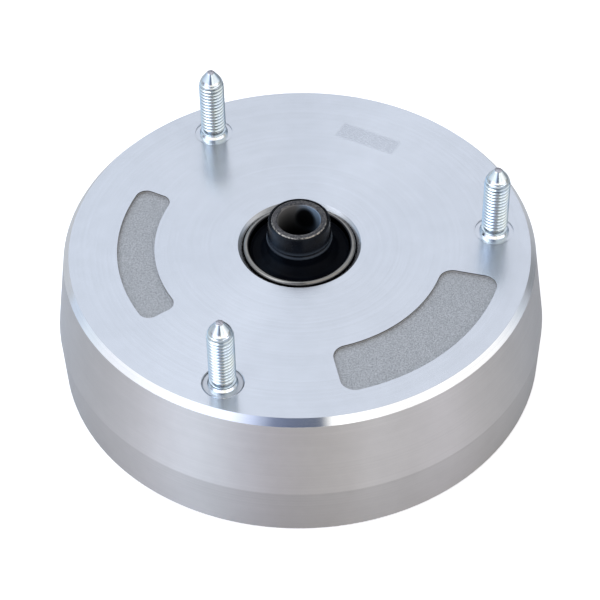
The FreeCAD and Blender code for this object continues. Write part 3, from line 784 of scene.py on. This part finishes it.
# How pale the floor is to the camera, in reflections, and in reflections far off to the right behind the
# part, where painted shade darkens it
FLOOR_SEEN, FLOOR_REFLECTED, FLOOR_FAR_RIGHT = 0.9, 0.55, 0.286
FLOOR_GLOW = 0.5
# The way to that far part across the floor, and where along it the floor dims
FAR_RIGHT = (0.78, 0.63)
FAR_RIGHT_FROM, FAR_RIGHT_TO = 0.12, 0.4


def plain_stage():
    """A wide pale floor that reads as white, and keeps a soft shadow."""
    mesh = bmesh.new()
    bmesh.ops.create_grid(mesh, x_segments=1, y_segments=1, size=6)
    data = bpy.data.meshes.new("floor")
    mesh.to_mesh(data)
    mesh.free()
    floor = bpy.data.objects.new("floor", data)
    bpy.context.scene.collection.objects.link(floor)
    floor.location.z = -0.02 * MM
    material, tree = new_material("floor_white")
    pale = add(tree, "ShaderNodeBsdfDiffuse", Color=(FLOOR_SEEN, FLOOR_SEEN, FLOOR_SEEN, 1)).outputs[0]
    glow = add(tree, "ShaderNodeEmission", Color=(1, 1, 1, 1), Strength=FLOOR_GLOW).outputs[0]
    seen = add(tree, "ShaderNodeAddShader")
    tree.links.new(pale, seen.inputs[0])
    tree.links.new(glow, seen.inputs[1])
    x, y = places(tree)[:2]
    to_right = plus(tree, times(tree, x, FAR_RIGHT[0]), times(tree, y, FAR_RIGHT[1]))
    # Painted shade on the floor, seen only in reflections, far off to the right behind the part
    dim = span(tree, to_right, FAR_RIGHT_FROM, FAR_RIGHT_TO, FLOOR_REFLECTED, FLOOR_FAR_RIGHT)
    grey = add(tree, "ShaderNodeCombineXYZ", X=dim, Y=dim, Z=dim).outputs[0]
    reflected = add(tree, "ShaderNodeBsdfDiffuse", Color=grey).outputs[0]
    rays = add(tree, "ShaderNodeLightPath").outputs
    output(tree, layered(tree, rays["Is Camera Ray"], reflected, seen.outputs[0]))
    data.materials.append(material)


def ring_of_light(tree, turn, stops):
    """A light that changes evenly from stop to stop round the room."""
    light = stops[0][1]
    for (start, _), (end, after) in zip(stops, stops[1:]):
        light = blend_colours(tree, span(tree, turn, math.radians(start), math.radians(end)), light, after)
    return light


def studio_world():
    """A pale studio: three rings of soft light above each other, dimmer behind, with a dark gap in front."""
    world = bpy.data.worlds.new("studio")
    bpy.context.scene.world = world
    world.use_nodes = True
    tree = world.node_tree
    tree.nodes.clear()
    where = add(tree, "ShaderNodeTexCoord").outputs["Generated"]
    way = add(tree, "ShaderNodeSeparateXYZ", Vector=where).outputs
    turn = maths(tree, "ARCTAN2", way[0], times(tree, way[1], -1.0))
    low, middle, high = (ring_of_light(tree, turn, ring) for ring in (LOW_RING, MIDDLE_RING, HIGH_RING))
    aside = maths(tree, "ABSOLUTE", turn)
    above_low = minus(tree, way[2], span(tree, aside, *LOW_TOP_TURN, LOW_TOP_FRONT, LOW_TOP_BACK))
    colour = blend_colours(tree, past(tree, above_low, 0.0, LOW_TOP_SOFT), low, middle)
    lowered = minus(tree, way[2], span(tree, aside, *HIGH_LIFT_TURN, HIGH_LIFT_FRONT, 0.0))
    colour = blend_colours(tree, span(tree, lowered, *MIDDLE_TO_HIGH), colour, high)
    rays = add(tree, "ShaderNodeLightPath").outputs
    seen = blend_colours(tree, rays["Is Camera Ray"], colour, (1.0, 1.0, 1.0))
    back = add(tree, "ShaderNodeBackground", Color=seen, Strength=1.0)
    add(tree, "ShaderNodeOutputWorld", Surface=back.outputs[0])


def lamp(name, place, target, size, power):
    """A square soft lamp that faces a point."""
    data = bpy.data.lights.new(name, "AREA")
    data.size = size
    data.energy = power
    thing = bpy.data.objects.new(name, data)
    bpy.context.scene.collection.objects.link(thing)
    thing.location = place
    thing.rotation_euler = (Vector(target) - Vector(place)).to_track_quat("-Z", "Y").to_euler()


def camera():
    """The photograph's view: 46 degrees down, from straight in front, with a slight roll."""
    elevation, roll = math.radians(45.987), math.radians(-1.148)
    aim, distance = Vector((-0.19, 0, 20.22)) * MM, 685.9 * MM
    forward = Vector((0, math.cos(elevation), -math.sin(elevation)))
    right, up = Vector((1, 0, 0)), Vector((0, math.sin(elevation), math.cos(elevation)))
    across = math.cos(roll) * right + math.sin(roll) * up
    upward = -math.sin(roll) * right + math.cos(roll) * up
    data = bpy.data.cameras.new("camera")
    data.lens, data.sensor_width = 131.3, 36
    data.clip_start = 0.01
    thing = bpy.data.objects.new("camera", data)
    bpy.context.scene.collection.objects.link(thing)
    turn = Matrix((across, upward, -forward)).transposed().to_4x4()
    thing.matrix_world = Matrix.Translation(aim - distance * forward) @ turn
    bpy.context.scene.camera = thing


dress_nodes()
build_studs()
build_can()
build_rubber()
plain_stage()
studio_world()
lamp("key", place=(-0.5, -0.1, 0.9), target=(0, 0, 0.03), size=0.6, power=1.2)
camera()
bpy.context.scene.view_settings.view_transform = "Standard"
